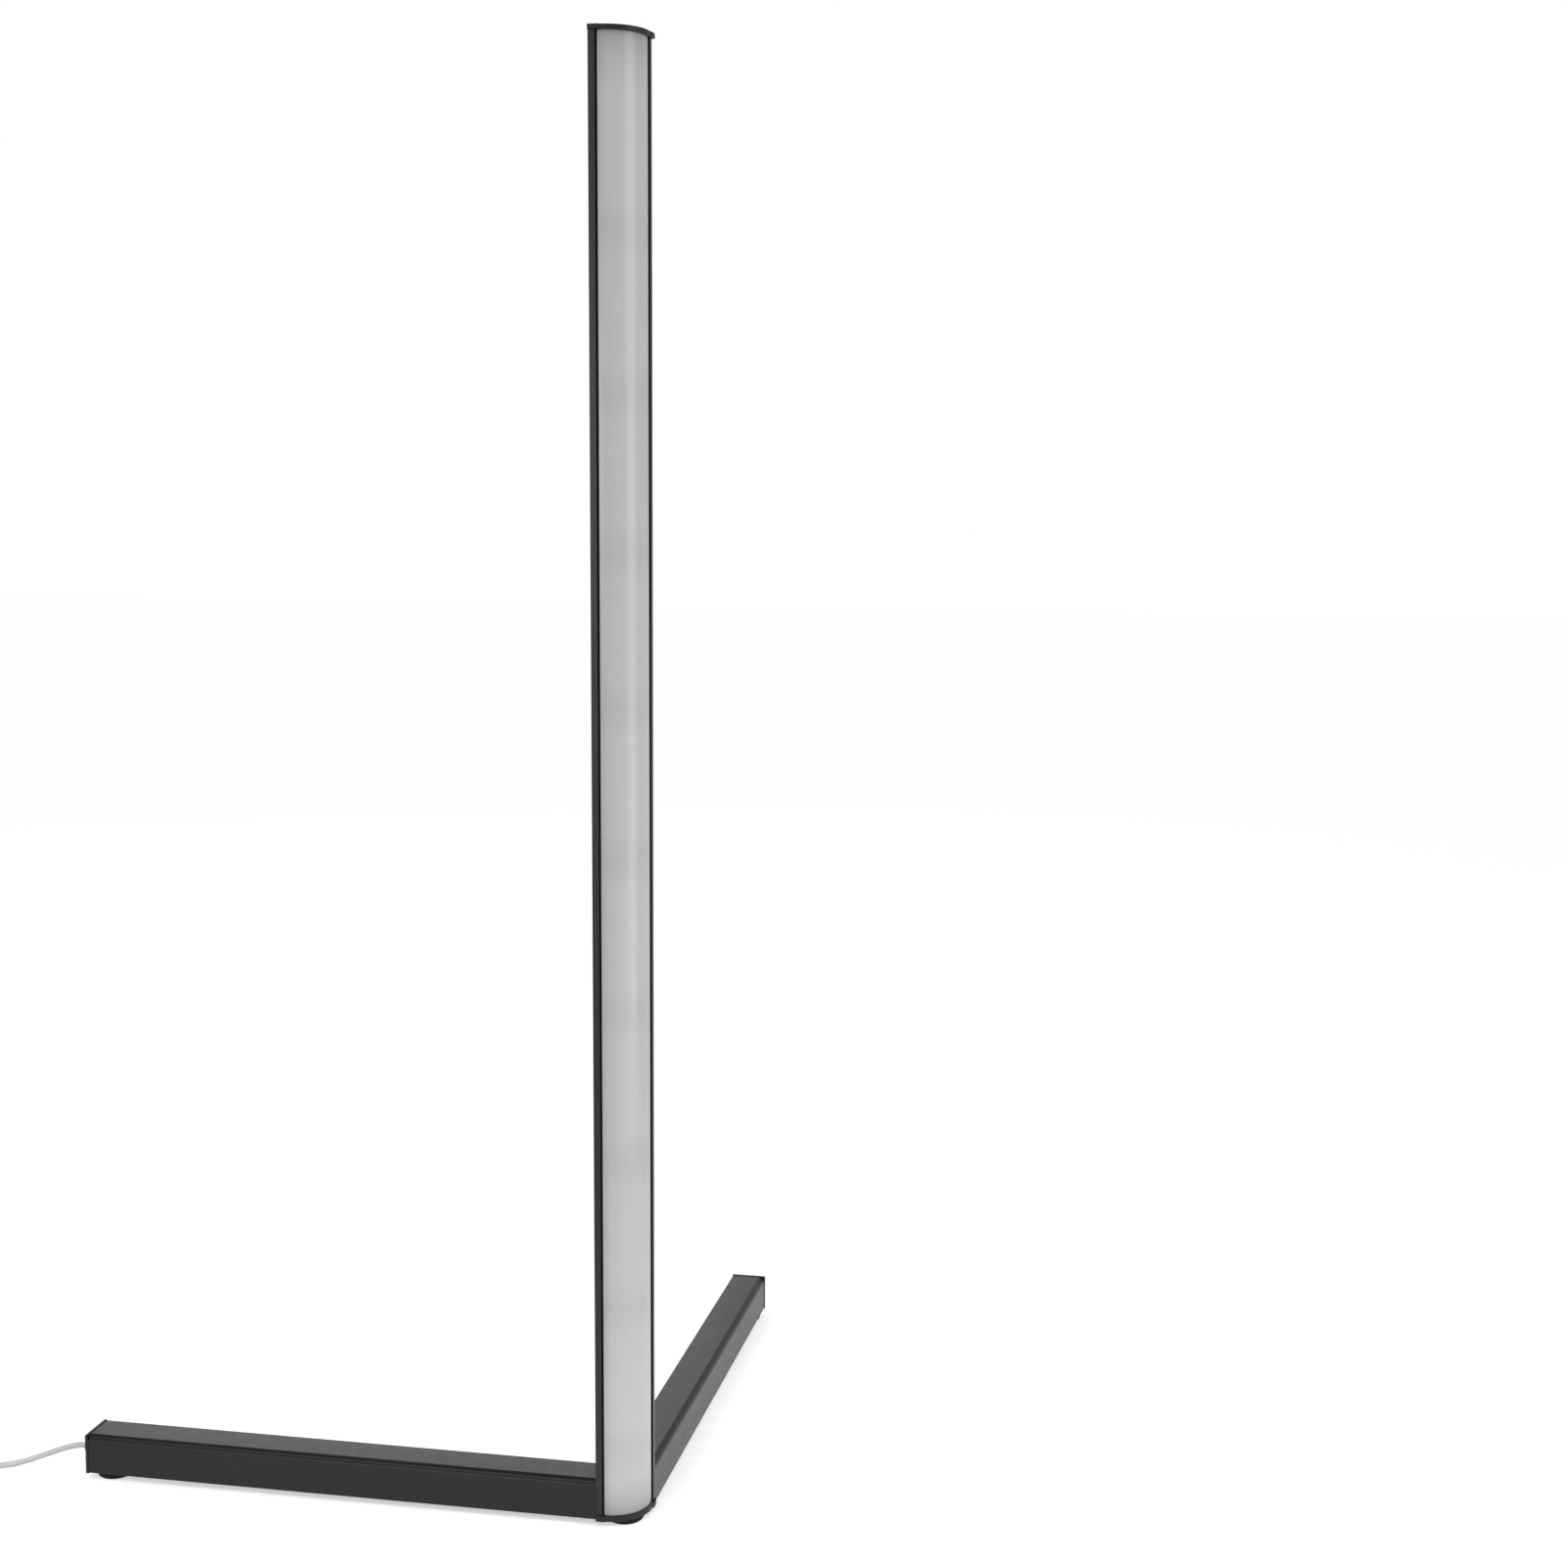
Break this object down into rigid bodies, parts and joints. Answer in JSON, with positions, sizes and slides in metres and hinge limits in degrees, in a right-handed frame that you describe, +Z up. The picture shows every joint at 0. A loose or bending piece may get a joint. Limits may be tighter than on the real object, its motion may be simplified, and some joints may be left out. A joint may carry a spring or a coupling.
{
  "type": "corner floor lamp",
  "caption": "Corner lamp: a black corner profile with a bowed opal diffuser stands upright where right-angled square-tube legs meet, on round rubber feet, with a corded in-line switch.",
  "frame": {"origin": "on the floor, at the centre of the corner foot's underside, which is on the axis of the upright", "axes": "+Z up along the upright; the left leg, which the cord leaves, runs along -X; the rear leg runs along +Y; the diffuser faces between +X and -Y"},
  "size_m": [0.5567, 0.3809, 0.8961],
  "materials": {
    "black_metal": "satin black anodised",
    "opal_diffuser": "opal, softly glossy",
    "white_board": "matt",
    "light_chip": "gloss",
    "cap_black": "satin",
    "screw_black": "satin",
    "cast_block": "as cast",
    "screw_steel": "plain",
    "foot_rubber": "matt",
    "foam_pad": "matt",
    "green_board": "satin",
    "red_wire": "gloss",
    "grey_plastic": "satin",
    "white_cord": "satin",
    "tie_black": "matt",
    "white_plastic": "satin",
    "plug_steel": "plain"
  },
  "bodies": {
    "lamp": {"upright_profile": "black_metal", "diffuser": "opal_diffuser", "led_board": "white_board", "led_chips": "light_chip", "top_cap": "cap_black", "bottom_cap": "cap_black", "top_cap_screws": "screw_black", "bottom_cap_screws": "screw_black", "left_leg": "black_metal", "rear_leg": "black_metal", "left_end_cap": "cap_black", "rear_end_cap": "cap_black", "left_block": "cast_block", "rear_block": "cast_block", "left_block_screws": "screw_steel", "rear_block_screws": "screw_steel", "left_tube_screw": "screw_black", "rear_tube_screw": "screw_black", "corner_foot": "foot_rubber", "left_foot": "foot_rubber", "rear_foot": "foot_rubber", "board_pad": "foam_pad", "control_board": "green_board", "inner_lead": "red_wire", "cord_grommet": "grey_plastic", "cord_lead": "white_cord", "cord_coil": "white_cord", "coil_tie": "tie_black", "cord_tail_a": "white_cord", "cord_tail_b": "white_cord", "switch_lower": "white_plastic", "switch_upper": "white_plastic", "switch_board": "green_board", "plug_body": "white_plastic", "plug_shell": "plug_steel"},
    "button": {"switch_button": "grey_plastic"}
  },
  "joints": [
    {"name": "switch_press", "type": "slide", "parent": "lamp", "child": "button", "axis": [0, 0, -1], "range_m": [0, 0.001], "stiffness_N_per_m": 400}
  ]
}
